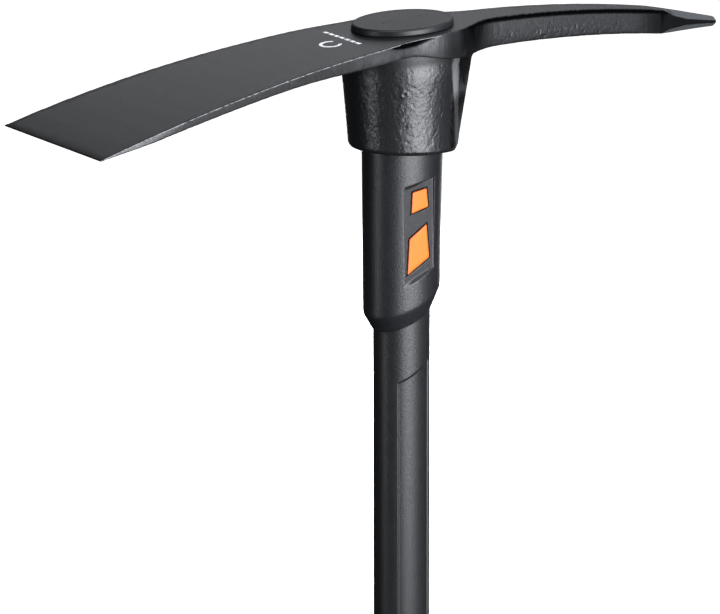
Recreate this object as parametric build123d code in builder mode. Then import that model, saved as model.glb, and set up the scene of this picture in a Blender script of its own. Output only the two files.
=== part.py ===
"""Pickaxe: a forged steel head with a broad adze blade and a narrow pick point, on a composite oval handle.

The frame has +Z up the handle, +X towards the pick point and -X towards the adze blade. The origin is the
centre of the flat face of the butt. Every size is in millimetres.
"""

import os
from math import acos, cos, degrees, radians, sin, sqrt, tan

from build123d import *

# Overall
OVERALL_HEIGHT = 914.0  # butt face to the top of the cap
BOND = 0.1  # gap left for the bond between two pieces

# Handle: an oval, its long way along the head
SHAFT_A = 19.45  # half width along X
SHAFT_B = 14.3  # half depth along Y
CORE_A = 11.0
CORE_B = 7.0
CORE_COVER = 8.0  # shell below the core's foot

# Long shallow panels down both flat sides of the shaft
GROOVE_HALF_WIDTH = 12.2
GROOVE_DEPTH = 0.9
GROOVE_TOP_GAP = 33.5  # below the guard's foot, on the handle's axis
GROOVE_GRIP_GAP = 24.0  # above the grip
GROOVE_SLOPE = 23.0  # degrees, of both its ends

# Guard under the head
GUARD_WALL_A = 7.05  # wall of its lower end, along X
GUARD_WALL_B = 4.3  # and along Y
GUARD_FLARE = 0.9  # how much its half sizes grow towards the head
GUARD_STRAIGHT = 30.0  # length of the straight stretch above the nose
GUARD_LENGTH = 95.4  # socket foot to the top of the nose, on the handle's axis
GUARD_NOSE = 11.6  # height of the sloping nose
GUARD_LIP = 0.5  # how far the nose's foot stands off the shaft
GUARD_SLOPE = 17.0  # degrees: the foot rises towards the pick side
GUARD_SPIGOT = 6.0  # how far the guard enters the eye

# Recessed panel and inlays on both flat sides of the guard: (along the head, depth below the socket's foot)
PANEL_SINK = 2.1  # the panel's floor below the guard's crest
PANEL_CORNER = 1.5
PANEL_OUTLINE = [(-11.6, 20.2), (10.6, 16.7), (10.6, 74.2), (-11.6, 81.7)]
INLAY_SUNK = 0.7  # the inlay's face below the panel's floor
INLAY_THICKNESS = 0.9
INLAY_CORNER = 0.7
SMALL_INLAY = [(-5.7, 24.0), (5.5, 23.4), (6.9, 35.3), (-6.6, 37.2)]
LARGE_INLAY = [(-8.1, 52.8), (5.5, 45.8), (7.8, 67.4), (-9.6, 75.2)]

# Blade and arm of the head
CROWN_RADIUS = 1165.0  # the head's top is one arc
CROWN_SHIFT = 5.0  # how far the arc's crest lies towards the blade
BLADE_LENGTH = 246.0  # handle axis to the cutting edge
BLADE_EDGE_WIDTH = 92.0
BLADE_SIDE_BULGE = 1.1  # how far the blade's sides bow out
BLADE_ROOT_WIDTH = 68.6  # over the socket's blade side
BLADE_EDGE_THICKNESS = 0.7
BLADE_BEVEL = 34.0  # length of the ground bevel
BLADE_THICKNESS = 3.9  # above the bevel
BLADE_WAIST_X = 100.0
BLADE_WAIST_WIDTH = 78.4
BLADE_WAIST_THICKNESS = 6.3
ARM_ROOT_X = 66.0
ARM_ROOT_WIDTH = 24.4
ARM_ROOT_HEIGHT = 18.0
ARM_END_X = 214.0  # where the point's facets start
ARM_END_WIDTH = 16.2
ARM_END_HEIGHT = 15.9

# Pick point: each section's share of the length, half height, half width, side flat and top flat (both half)
POINT_LENGTH = 57.5
POINT_LIFT = 3.0  # how far the tip rises from the arm's curve
POINT_SECTIONS = [
    (0.0, 7.95, 8.10, 7.6, 7.8),
    (0.17, 7.55, 7.70, 4.6, 5.0),
    (0.42, 6.40, 6.60, 2.3, 2.8),
    (0.68, 4.90, 5.20, 1.6, 1.9),
    (0.97, 3.30, 3.60, 1.1, 1.3),
    (1.0, 2.20, 2.70, 0.8, 1.0),
]

# Eye and socket of the head
EYE_WALL = 10.4  # plate left beside the eye at the crown
EYE_THICKNESS = 13.4  # of the plate, at the handle's axis
CHEEK_THICKNESS = 10.0  # where the cheeks start
PLATE_THICKNESS = 9.1  # over the socket's blade side
CHEEK_FRONT = 5.0  # the cheeks run straight from here
CHEEK_BACK = 15.0  # to here, behind the axis
FLANK_X = 34.0  # a point of the outline between cheek and arm
FLANK_WIDTH = 46.2
EYE_SHIFT = 0.8  # how far the eye's centre lies towards the pick point
BORE_FLARE = 1.8  # how much the eye's half sizes grow upwards
LINER_WALL = 2.0
NECK_TOP_GAP = 0.6  # crown to the top of the liner and of the handle's neck
SOCKET_HEIGHT = 73.2  # crown to the socket's foot, on the handle's axis
FOOT_SLOPE = 5.8  # degrees: the foot falls towards the pick side
SOCKET_WALL_A = 7.9  # at the foot, along X
SOCKET_WALL_B = 8.4  # and along Y
SOCKET_SPREAD = 3.7  # how much its half sizes grow up to the shoulder
SHOULDER_DEPTH = 24.0  # crown to the shoulder
SHOULDER_TOP = 6.0  # crown to the socket's buried top
SHOULDER_TUCK = 3.4  # how much it tucks in between the two
FOOT_ROUND = 2.5

# Pick side of the socket: how far behind its half sizes the facet starts, the neck and the keel's corner
KEEL_FOOT = [(6.4, 0.0), (1.9, 16.1), (-3.1, 21.1)]
KEEL_SHOULDER = [(26.8, 0.0), (8.1, 16.3), (-7.3, 21.8)]
KEEL_TOP = [(22.7, 0.0), (1.9, 11.9), (-18.3, 17.4)]
# Concave root of the keel under the arm: (share of the way up from the shoulder, how far forward)
KEEL_ROOT = [(0.08, 0.5), (0.13, 1.8), (0.18, 4.0), (0.23, 8.0)]

# Cap over the eye
CAP_HEIGHT = 4.0
CAP_OVERLAP = 4.1  # beyond the eye all round
CAP_PLUG_DEPTH = 9.0
CAP_PLUG_MARGIN = 4.5  # shell left around the plug
CAP_TOP_ROUND = 1.8
CAP_FOOT_ROUND = 0.8

# Grip and butt
GRIP_TOP = 312.0
GRIP_WALL_TOP = 1.5
GRIP_WALL_FOOT = 3.1
GRIP_RIB_PITCH = 14.0
GRIP_GROOVE_WIDTH = 3.0
GRIP_GROOVE_DEPTH = 0.8
GRIP_PLAIN = 20.0  # smooth band at each end of the grip
BUTT_HEIGHT = 42.0
BUTT_FLOOR = 9.0
BUTT_FACE_ROUND = 4.0
# The butt's sections: (share of its height, how much its half sizes outgrow the grip's)
BUTT_SECTIONS = [(0.0, 6.0), (0.24, 6.3), (0.43, 4.4), (0.71, 0.9), (1.0, 0.0)]

# Heights that follow
CROWN = OVERALL_HEIGHT - CAP_HEIGHT
SOCKET_FOOT = CROWN - SOCKET_HEIGHT
GUARD_TOP = SOCKET_FOOT + GUARD_SPIGOT
GUARD_NOSE_TOP = SOCKET_FOOT - GUARD_LENGTH
GUARD_FOOT = GUARD_NOSE_TOP - GUARD_NOSE
NECK_TOP = CROWN - NECK_TOP_GAP
PLUG_FOOT = CROWN - CAP_PLUG_DEPTH
SHELL_FOOT = BUTT_FLOOR + BOND
CORE_FOOT = SHELL_FOOT + CORE_COVER
GRIP_FOOT = BUTT_HEIGHT + BOND


def grown(oval, amount):
    """An oval (half width along X, half depth along Y, centre's X) with both half sizes grown."""
    return (oval[0] + amount, oval[1] + amount, oval[2])


# Ovals that follow
SHAFT_SIZE = (SHAFT_A, SHAFT_B, 0.0)
CORE_SIZE = (CORE_A, CORE_B, 0.0)
SHAFT_BORE = grown(SHAFT_SIZE, BOND)
GUARD_SIZE = (SHAFT_BORE[0] + GUARD_WALL_A, SHAFT_BORE[1] + GUARD_WALL_B, 0.0)
GUARD_TOP_SIZE = (GUARD_SIZE[0] + GUARD_FLARE, GUARD_SIZE[1] + GUARD_FLARE, EYE_SHIFT)
EYE_FOOT_SIZE = grown(GUARD_TOP_SIZE, BOND)
SOCKET_SIZE = (EYE_FOOT_SIZE[0] + SOCKET_WALL_A, EYE_FOOT_SIZE[1] + SOCKET_WALL_B, EYE_SHIFT)
GRIP_TOP_SIZE = grown(SHAFT_BORE, GRIP_WALL_TOP)
GRIP_FOOT_SIZE = grown(SHAFT_BORE, GRIP_WALL_FOOT)
PANEL_FLOOR = GUARD_SIZE[1] - PANEL_SINK
INLAY_FACE = PANEL_FLOOR - INLAY_SUNK
INLAY_BACK = INLAY_FACE - INLAY_THICKNESS
OUTSIDE = 2 * GUARD_TOP_SIZE[0]  # well clear of the handle's surface


def crown_z(x):
    """Height of the head's top face at a distance along the head."""
    return CROWN - CROWN_RADIUS + sqrt(CROWN_RADIUS**2 - (x + CROWN_SHIFT) ** 2)


def eye_size(z, inset=0.0):
    """The tapering eye's oval at a height, less an inset."""
    return grown(EYE_FOOT_SIZE, BORE_FLARE * (z - SOCKET_FOOT) / SOCKET_HEIGHT - inset)


def oval_face(plane, oval):
    """A flat oval on a plane."""
    with BuildSketch(plane) as face:
        with Locations((oval[2], 0)):
            Ellipse(oval[0], oval[1])
    return face.sketch


def oval_bar(z_low, size_low, z_high, size_high, mode=Mode.ADD):
    """An upright oval bar between two heights, straight or tapering, in the part being built."""
    low = oval_face(Plane.XY.offset(z_low), size_low)
    if size_low == size_high:
        extrude(to_extrude=low, amount=z_high - z_low, mode=mode)
    else:
        loft(sections=[low, oval_face(Plane.XY.offset(z_high), size_high)], mode=mode)


def side_prism(outline, side, inner, outer, corner=0.0, spread=0.0, mode=Mode.ADD):
    """A prism across a flat side of the handle: side -1 faces -Y, 1 faces +Y, outline is (x, z) points."""
    plane = Plane(origin=(0, side * inner, 0), x_dir=(1, 0, 0), z_dir=(0, side, 0))
    with BuildSketch(plane) as face:
        with BuildLine():
            Polyline(*[(x, -side * z) for x, z in outline], close=True)
        make_face()
        if corner:
            fillet(face.vertices(), corner)
        if spread:
            offset(amount=spread)
    extrude(to_extrude=face.sketch, amount=outer - inner, mode=mode)


def below_socket(outline):
    """An outline given as depths below the socket's foot, as (x, z) points."""
    return [(x, SOCKET_FOOT - depth) for x, depth in outline]


def slope_plane(z, angle):
    """The plane that crosses the handle's axis at a height and rises towards the pick side by an angle."""
    slope = radians(angle)
    return Plane(origin=(0, 0, z), x_dir=(cos(slope), 0, sin(slope)), z_dir=(-sin(slope), 0, cos(slope)))


def slope_oval(z, oval):
    """The section of an upright oval bar on the guard's sloping plane."""
    return oval_face(slope_plane(z, GUARD_SLOPE), (oval[0] / cos(radians(GUARD_SLOPE)), oval[1], 0.0))


def between(start, end, share):
    """The pair part of the way between two pairs."""
    return (start[0] + share * (end[0] - start[0]), start[1] + share * (end[1] - start[1]))


def socket_section(plane, oval, keel):
    """The socket's outline on a plane: an oval with a flat facet and a keel on its pick side."""
    width, depth, centre = oval
    facet = (width - keel[0][0], depth * sqrt(1 - (1 - keel[0][0] / width) ** 2))
    neck = (width - keel[1][0], depth - keel[1][1])
    corner = (width - keel[2][0], depth - keel[2][1])
    half = [(centre + x, y) for x, y in (facet, neck, corner)]
    start = degrees(acos(facet[0] / width))
    with BuildSketch(plane) as section:
        with BuildLine():
            EllipticalCenterArc((centre, 0), width, depth, start_angle=start, arc_size=360 - 2 * start)
            Polyline(*[(x, -y) for x, y in half], *reversed(half))
        make_face()
    return section.sketch


def shoulder_section(share, forward):
    """The socket's outline between its shoulder and its buried top, the keel's corner moved forward."""
    oval = grown(SOCKET_SIZE, SOCKET_SPREAD - share * SHOULDER_TUCK)
    keel = [between(low, high, share) for low, high in zip(KEEL_SHOULDER, KEEL_TOP)]
    keel[2] = (keel[2][0] - forward, keel[2][1])
    z = CROWN - SHOULDER_DEPTH + share * (SHOULDER_DEPTH - SHOULDER_TOP)
    return socket_section(Plane.XY.offset(z), oval, keel)


def foot_section(rise, inset):
    """The socket's outline a little above its sloping foot, less an inset."""
    oval = grown(SOCKET_SIZE, SOCKET_SPREAD * rise / SOCKET_HEIGHT - inset)
    return socket_section(slope_plane(SOCKET_FOOT + rise, -FOOT_SLOPE), oval, KEEL_FOOT)


def point_section(share, half_height, half_width, side_flat, top_flat):
    """One eight-sided section of the pick point, on the plane across the head."""
    x = ARM_END_X + share * POINT_LENGTH
    z = crown_z(x) - ARM_END_HEIGHT / 2 + POINT_LIFT * share**1.5
    right = [(half_width, side_flat), (top_flat, half_height)]
    upper = right + [(-y, height) for y, height in reversed(right)]
    lower = [(-y, -height) for y, height in upper]
    with BuildSketch(Plane(origin=(x, 0, z), x_dir=(0, 1, 0), z_dir=(1, 0, 0))) as section:
        with BuildLine():
            Polyline(*upper, *lower, close=True)
        make_face()
    return section.sketch


# The forged head: its side profile drawn across, cut to its outline from above
EYE_HALF = eye_size(CROWN)[1] + EYE_WALL
BEVEL_X = -BLADE_LENGTH + BLADE_BEVEL
ARM_END = (ARM_END_X, ARM_END_HEIGHT)
ARM_ROOT = (ARM_ROOT_X, ARM_ROOT_HEIGHT)
WAIST = (-BLADE_WAIST_X, BLADE_WAIST_THICKNESS)
BEVEL = (BEVEL_X, BLADE_THICKNESS)
UNDERSIDE = [
    ARM_END,
    between(ARM_END, ARM_ROOT, 0.33),
    between(ARM_END, ARM_ROOT, 0.67),
    ARM_ROOT,
    (FLANK_X, ARM_ROOT_HEIGHT),
    (0.0, EYE_THICKNESS),
    (-CHEEK_BACK, CHEEK_THICKNESS),
    (-SOCKET_SIZE[0], PLATE_THICKNESS),
    WAIST,
    between(WAIST, BEVEL, 0.5),
    BEVEL,
]
with BuildPart() as pick_head:
    with BuildSketch(Plane.XZ) as side_profile:
        with BuildLine():
            blade_top = (-BLADE_LENGTH, crown_z(-BLADE_LENGTH))
            blade_bottom = (-BLADE_LENGTH, crown_z(-BLADE_LENGTH) - BLADE_EDGE_THICKNESS)
            arm_top = (ARM_END_X, crown_z(ARM_END_X))
            ThreePointArc(blade_top, (-CROWN_SHIFT, CROWN), arm_top)
            under = Spline(*[(x, crown_z(x) - thickness) for x, thickness in UNDERSIDE])
            Line(arm_top, under @ 0)
            Polyline(under @ 1, blade_bottom, blade_top)
        make_face()
    extrude(to_extrude=side_profile.sketch, amount=BLADE_EDGE_WIDTH, both=True)
    with BuildSketch(Plane.XY.offset(SOCKET_FOOT)) as plan:
        with BuildLine():
            edge_corner = (-BLADE_LENGTH, BLADE_EDGE_WIDTH / 2)
            waist_corner = (-BLADE_WAIST_X, BLADE_WAIST_WIDTH / 2)
            middle = between(edge_corner, waist_corner, 0.5)
            side = ThreePointArc(edge_corner, (middle[0], middle[1] + BLADE_SIDE_BULGE), waist_corner)
            half = Spline(
                waist_corner,
                (-SOCKET_SIZE[0], BLADE_ROOT_WIDTH / 2),
                (-CHEEK_BACK, EYE_HALF),
                (CHEEK_FRONT, EYE_HALF),
                (FLANK_X, FLANK_WIDTH / 2),
                (ARM_ROOT_X, ARM_ROOT_WIDTH / 2),
                tangents=[
                    side % 1,
                    (ARM_END_X - ARM_ROOT_X, (ARM_END_WIDTH - ARM_ROOT_WIDTH) / 2),
                ],
            )
            Line(half @ 1, (ARM_END_X, ARM_END_WIDTH / 2))
            Line((-BLADE_LENGTH, 0), edge_corner)
            Line((ARM_END_X, ARM_END_WIDTH / 2), (ARM_END_X, 0))
            mirror(about=Plane.XZ)
        make_face()
    extrude(to_extrude=plan.sketch, amount=OVERALL_HEIGHT - SOCKET_FOOT, mode=Mode.INTERSECT)
    loft(sections=[point_section(*section) for section in POINT_SECTIONS], ruled=True)
    # The socket, its foot rounded in two steps
    loft(
        sections=[
            foot_section(0.0, FOOT_ROUND),
            foot_section(0.3 * FOOT_ROUND, 0.3 * FOOT_ROUND),
            foot_section(FOOT_ROUND, 0.0),
            shoulder_section(0.0, 0.0),
        ],
        ruled=True,
    )
    root_sections = [shoulder_section(*level) for level in KEEL_ROOT]
    loft(
        sections=[shoulder_section(0.0, 0.0), *root_sections, shoulder_section(1.0, 0.0)],
        ruled=True,
    )
    below_eye = SOCKET_FOOT - FOOT_ROUND - SOCKET_SIZE[0] * tan(radians(FOOT_SLOPE))
    above_eye = CROWN + BOND
    oval_bar(below_eye, eye_size(below_eye), above_eye, eye_size(above_eye), Mode.SUBTRACT)
pick_head.part.label = "pick_head"

# The liner between the eye and the handle
with BuildPart() as insulation_sleeve:
    liner_foot = GUARD_TOP + BOND
    oval_bar(liner_foot, eye_size(liner_foot, BOND), NECK_TOP, eye_size(NECK_TOP, BOND))
    bore_foot = eye_size(liner_foot, BOND + LINER_WALL)
    bore_top = eye_size(NECK_TOP, BOND + LINER_WALL)
    oval_bar(liner_foot, bore_foot, NECK_TOP, bore_top, Mode.SUBTRACT)
insulation_sleeve.part.label = "insulation_sleeve"

# The cap, its underside following the crown, with a plug into the handle
NECK_INSET = 2 * BOND + LINER_WALL
PLUG_SIZE = eye_size(PLUG_FOOT, NECK_INSET + CAP_PLUG_MARGIN)
with BuildPart() as top_cap:
    cap_size = grown(eye_size(CROWN), CAP_OVERLAP)
    oval_bar(CROWN - CAP_HEIGHT, cap_size, OVERALL_HEIGHT, cap_size)
    with BuildSketch(Plane.XZ) as head_arc:
        with Locations((-CROWN_SHIFT, CROWN - CROWN_RADIUS)):
            Circle(CROWN_RADIUS + BOND)
    extrude(to_extrude=head_arc.sketch, amount=OUTSIDE, both=True, mode=Mode.SUBTRACT)
    fillet(top_cap.faces().sort_by(Axis.Z)[-1].edges(), CAP_TOP_ROUND)
    fillet(top_cap.faces().sort_by(Axis.Z)[0].edges(), CAP_FOOT_ROUND)
    oval_bar(PLUG_FOOT + BOND, PLUG_SIZE, CROWN + 0.5 * CAP_HEIGHT, PLUG_SIZE)
top_cap.part.label = "top_cap"

# The rod through the middle of the handle
with BuildPart() as core_rod:
    oval_bar(CORE_FOOT, CORE_SIZE, PLUG_FOOT, CORE_SIZE)
core_rod.part.label = "core_rod"

# The handle's shell: the shaft with its side panels and a wider neck inside the eye
with BuildPart() as handle_shell:
    oval_bar(SHELL_FOOT, SHAFT_SIZE, GUARD_TOP + BOND, SHAFT_SIZE)
    groove_rise = GROOVE_HALF_WIDTH * tan(radians(GROOVE_SLOPE))
    groove_top = GUARD_FOOT - GROOVE_TOP_GAP
    groove_foot = GRIP_TOP + GROOVE_GRIP_GAP
    groove_outline = [
        (-GROOVE_HALF_WIDTH, groove_top - groove_rise),
        (GROOVE_HALF_WIDTH, groove_top + groove_rise),
        (GROOVE_HALF_WIDTH, groove_foot + groove_rise),
        (-GROOVE_HALF_WIDTH, groove_foot - groove_rise),
    ]
    side_prism(groove_outline, -1, 0, OUTSIDE, mode=Mode.SUBTRACT)
    side_prism(groove_outline, 1, 0, OUTSIDE, mode=Mode.SUBTRACT)
    groove_floor = grown(SHAFT_SIZE, -GROOVE_DEPTH)
    oval_bar(SHELL_FOOT, groove_floor, GUARD_TOP, groove_floor)
    neck_foot = GUARD_TOP + BOND
    oval_bar(neck_foot, eye_size(neck_foot, NECK_INSET), NECK_TOP, eye_size(NECK_TOP, NECK_INSET))
    core_bore = grown(CORE_SIZE, BOND)
    oval_bar(CORE_FOOT - BOND, core_bore, PLUG_FOOT, core_bore, Mode.SUBTRACT)
    plug_bore = grown(PLUG_SIZE, BOND)
    oval_bar(PLUG_FOOT, plug_bore, CROWN + BOND, plug_bore, Mode.SUBTRACT)
handle_shell.part.label = "handle_shell"

# The guard: a sleeve with a sloping nose, recessed panels and pockets for the inlays
with BuildPart() as strike_guard:
    flare_foot = GUARD_NOSE_TOP + GUARD_STRAIGHT
    oval_bar(flare_foot, GUARD_SIZE, GUARD_TOP, GUARD_TOP_SIZE)
    oval_bar(GUARD_FOOT - OUTSIDE, GUARD_SIZE, flare_foot, GUARD_SIZE)
    with BuildSketch(slope_plane(GUARD_NOSE_TOP, GUARD_SLOPE)) as below_nose:
        Rectangle(4 * OUTSIDE, 4 * OUTSIDE)
    extrude(to_extrude=below_nose.sketch, amount=-4 * OUTSIDE, mode=Mode.SUBTRACT)
    nose_foot = slope_oval(GUARD_FOOT, grown(SHAFT_BORE, GUARD_LIP))
    loft(sections=[nose_foot, slope_oval(GUARD_NOSE_TOP, GUARD_SIZE)])
    oval_bar(GUARD_FOOT - OUTSIDE, SHAFT_BORE, GUARD_TOP + BOND, SHAFT_BORE, Mode.SUBTRACT)
    for flat_side in (-1, 1):
        side_prism(
            below_socket(PANEL_OUTLINE), flat_side, PANEL_FLOOR, OUTSIDE, PANEL_CORNER, mode=Mode.SUBTRACT
        )
        for inlay in (SMALL_INLAY, LARGE_INLAY):
            side_prism(
                below_socket(inlay),
                flat_side,
                INLAY_BACK - BOND,
                OUTSIDE,
                INLAY_CORNER,
                spread=BOND,
                mode=Mode.SUBTRACT,
            )
strike_guard.part.label = "strike_guard"

# The inlays: two on each flat side, -Y is the front
with BuildPart() as inlay_small_front:
    side_prism(below_socket(SMALL_INLAY), -1, INLAY_BACK, INLAY_FACE, INLAY_CORNER)
inlay_small_front.part.label = "inlay_small_front"

with BuildPart() as inlay_large_front:
    side_prism(below_socket(LARGE_INLAY), -1, INLAY_BACK, INLAY_FACE, INLAY_CORNER)
inlay_large_front.part.label = "inlay_large_front"

with BuildPart() as inlay_small_back:
    side_prism(below_socket(SMALL_INLAY), 1, INLAY_BACK, INLAY_FACE, INLAY_CORNER)
inlay_small_back.part.label = "inlay_small_back"

with BuildPart() as inlay_large_back:
    side_prism(below_socket(LARGE_INLAY), 1, INLAY_BACK, INLAY_FACE, INLAY_CORNER)
inlay_large_back.part.label = "inlay_large_back"


def grip_size(z, sink=0.0):
    """Half sizes of the tapering grip at a height, less a groove's depth."""
    share = (z - GRIP_FOOT) / (GRIP_TOP - GRIP_FOOT)
    return grown(GRIP_FOOT_SIZE, share * (GRIP_WALL_TOP - GRIP_WALL_FOOT) - sink)


# The grip: a tapering sleeve with ribs between two smooth bands
with BuildPart() as grip_sleeve:
    rib_room = GRIP_TOP - GRIP_FOOT - 2 * GRIP_PLAIN - GRIP_GROOVE_WIDTH
    rib_count = int(rib_room // GRIP_RIB_PITCH)
    rib_pitch = rib_room / rib_count
    ribs_foot = GRIP_FOOT + GRIP_PLAIN
    ribs_top = GRIP_TOP - GRIP_PLAIN
    groove_low = grip_size(ribs_foot, GRIP_GROOVE_DEPTH)
    groove_high = grip_size(ribs_top, GRIP_GROOVE_DEPTH)
    oval_bar(ribs_foot, groove_low, ribs_top, groove_high)
    oval_bar(GRIP_FOOT, grip_size(GRIP_FOOT), ribs_foot, grip_size(ribs_foot))
    oval_bar(ribs_top, grip_size(ribs_top), GRIP_TOP, grip_size(GRIP_TOP))
    for rib in range(rib_count):
        rib_foot = ribs_foot + GRIP_GROOVE_WIDTH + rib * rib_pitch
        rib_top = rib_foot + rib_pitch - GRIP_GROOVE_WIDTH
        oval_bar(rib_foot, grip_size(rib_foot), rib_top, grip_size(rib_top))
    oval_bar(GRIP_FOOT - BOND, SHAFT_BORE, GRIP_TOP + BOND, SHAFT_BORE, Mode.SUBTRACT)
grip_sleeve.part.label = "grip_sleeve"

# The butt: a flared end closing the handle, flat underneath
with BuildPart() as butt_cap:
    loft(
        sections=[
            oval_face(Plane.XY.offset(share * BUTT_HEIGHT), grown(GRIP_FOOT_SIZE, flare))
            for share, flare in BUTT_SECTIONS
        ]
    )
    fillet(butt_cap.faces().sort_by(Axis.Z)[0].edges(), BUTT_FACE_ROUND)
    oval_bar(BUTT_FLOOR, SHAFT_BORE, BUTT_HEIGHT + BOND, SHAFT_BORE, Mode.SUBTRACT)
butt_cap.part.label = "butt_cap"

os.makedirs("parts", exist_ok=True)
export_step(pick_head.part, "parts/pick_head.step")
export_step(insulation_sleeve.part, "parts/insulation_sleeve.step")
export_step(top_cap.part, "parts/top_cap.step")
export_step(core_rod.part, "parts/core_rod.step")
export_step(handle_shell.part, "parts/handle_shell.step")
export_step(strike_guard.part, "parts/strike_guard.step")
export_step(inlay_small_front.part, "parts/inlay_small_front.step")
export_step(inlay_large_front.part, "parts/inlay_large_front.step")
export_step(inlay_small_back.part, "parts/inlay_small_back.step")
export_step(inlay_large_back.part, "parts/inlay_large_back.step")
export_step(grip_sleeve.part, "parts/grip_sleeve.step")
export_step(butt_cap.part, "parts/butt_cap.step")
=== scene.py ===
"""Looks of the pickaxe: a forged and painted steel head on a moulded composite handle.

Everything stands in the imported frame: +Z up the handle, +X towards the pick point, -X towards the blade and
-Y to the front. Lengths are in metres; MM turns millimetres into metres.
"""

from math import cos, pi, radians, sin, tan
from types import SimpleNamespace

import bmesh
import bpy
import numpy as np
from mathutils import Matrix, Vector, noise


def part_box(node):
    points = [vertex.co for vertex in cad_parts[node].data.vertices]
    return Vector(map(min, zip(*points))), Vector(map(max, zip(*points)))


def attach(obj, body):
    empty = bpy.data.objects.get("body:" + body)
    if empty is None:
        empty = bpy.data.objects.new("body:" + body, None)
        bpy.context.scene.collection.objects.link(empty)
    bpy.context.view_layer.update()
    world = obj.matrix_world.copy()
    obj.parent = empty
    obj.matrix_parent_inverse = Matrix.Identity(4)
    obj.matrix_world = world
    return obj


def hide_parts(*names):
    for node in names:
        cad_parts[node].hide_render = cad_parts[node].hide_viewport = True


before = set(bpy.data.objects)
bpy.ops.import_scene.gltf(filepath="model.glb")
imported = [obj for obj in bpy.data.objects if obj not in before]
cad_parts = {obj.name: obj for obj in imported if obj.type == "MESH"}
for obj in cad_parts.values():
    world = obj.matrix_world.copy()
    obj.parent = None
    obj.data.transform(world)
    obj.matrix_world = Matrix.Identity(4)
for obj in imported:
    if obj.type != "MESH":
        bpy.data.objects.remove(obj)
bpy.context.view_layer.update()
scene = bpy.context.scene
MM = 0.001
BODY = "root"

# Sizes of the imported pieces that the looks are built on
head_low, head_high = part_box("pick_head")
cap_low, cap_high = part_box("top_cap")
_, guard_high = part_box("strike_guard")
shell_low, shell_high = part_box("handle_shell")
grip_low, grip_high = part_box("grip_sleeve")
_, butt_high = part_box("butt_cap")

CROWN = head_high.z
CROWN_RADIUS = 1165 * MM
CREST_X = -5 * MM
SOCKET_FOOT = guard_high.z - 6 * MM
FOOT_FALL = tan(radians(5.8))
SHAFT = (19.45 * MM, 14.3 * MM)
PANEL_HALF_WIDTH = 12.2 * MM
PANEL_DEPTH = 0.9 * MM
PANEL_SLOPE = tan(radians(23))
NOSE_SLOPE = tan(radians(17))
NOSE_HEIGHT = 11.6 * MM
GUARD_FOOT = SOCKET_FOOT - 107 * MM
GUARD_WALL = (26.6 * MM, 18.7 * MM)
GUARD_FLARE = 0.9 * MM
EYE_SHIFT = 0.8 * MM
BORE = (SHAFT[0] + 0.1 * MM, SHAFT[1] + 0.1 * MM)


def crown_z(x):
    """Height of the head's top face at a distance along the head."""
    return CROWN - CROWN_RADIUS + np.sqrt(CROWN_RADIUS**2 - (x - CREST_X) ** 2)


# ---------------------------------------------------------------- small tools


def smooth_step(value):
    """0 below 0, 1 above 1, and a soft ramp between."""
    t = np.clip(value, 0.0, 1.0)
    return t * t * (3.0 - 2.0 * t)


def rise(value, start, width):
    """0 below start, 1 beyond start + width, and a soft ramp between."""
    return smooth_step((value - start) / width)


def fall(value, end, width):
    """0 above end, 1 below end - width, and a soft ramp between."""
    return smooth_step((end - value) / width)


def band(value, low, high, soft):
    """1 between low and high, falling to 0 over soft outside them."""
    return smooth_step((value - low) / soft + 1.0) * smooth_step((high - value) / soft + 1.0)


LUMP_STEP = (3.17, 1.93, 2.71)  # how far each seed moves the noise


def lumps(points, size, seed):
    """Soft noise from -1 to 1 at each point; size is the width of one lump in metres."""
    shift = Vector([seed * step for step in LUMP_STEP])
    return np.array([noise.noise(Vector(p) + shift) for p in points / size])


def inside(outline, x, z):
    """Signed distance from points (x, z) to a convex outline, more than 0 inside."""
    nearest = np.full(np.broadcast(x, z).shape, np.inf)
    sides = list(zip(outline, outline[1:] + outline[:1]))
    turn = sum((bx - ax) * (bz + az) for (ax, az), (bx, bz) in sides)
    sign = 1.0 if turn > 0 else -1.0
    for (ax, az), (bx, bz) in sides:
        length = np.hypot(bx - ax, bz - az)
        distance = sign * ((x - ax) * (bz - az) - (z - az) * (bx - ax)) / length
        nearest = np.minimum(nearest, distance)
    return nearest


def new_piece(name, points, faces, stands_for=()):
    """A mesh piece that rides on the handle's only body."""
    mesh = bpy.data.meshes.new(name)
    mesh.from_pydata([tuple(p) for p in points], [], [tuple(f) for f in faces])
    mesh.validate()
    mesh.update()
    mesh.shade_smooth()
    piece = bpy.data.objects.new(name, mesh)
    scene.collection.objects.link(piece)
    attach(piece, BODY)
    if stands_for:
        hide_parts(*stands_for)
    return piece


def ring_faces(rows, columns, sleeve):
    """Quads between rings of points; a sleeve's last ring also meets its first."""
    faces = []
    for row in range(rows if sleeve else rows - 1):
        low = row * columns
        high = (row + 1) % rows * columns
        for column in range(columns):
            after = (column + 1) % columns
            faces.append((low + column, low + after, high + after, high + column))
    return faces


def ring_piece(name, rings, stands_for=(), sleeve=False):
    """A piece from rings of points, lowest first; a sleeve closes on itself, others at both ends."""
    rings = np.asarray(rings)
    rows, columns = rings.shape[:2]
    faces = ring_faces(rows, columns, sleeve)
    points = rings.reshape(-1, 3)
    if not sleeve:
        points = np.vstack([points, rings[0].mean(0), rings[-1].mean(0)])
        low_middle, high_middle = rows * columns, rows * columns + 1
        last = (rows - 1) * columns
        for column in range(columns):
            after = (column + 1) % columns
            faces.append((low_middle, after, column))
            faces.append((high_middle, last + column, last + after))
    return new_piece(name, points, faces, stands_for)


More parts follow.
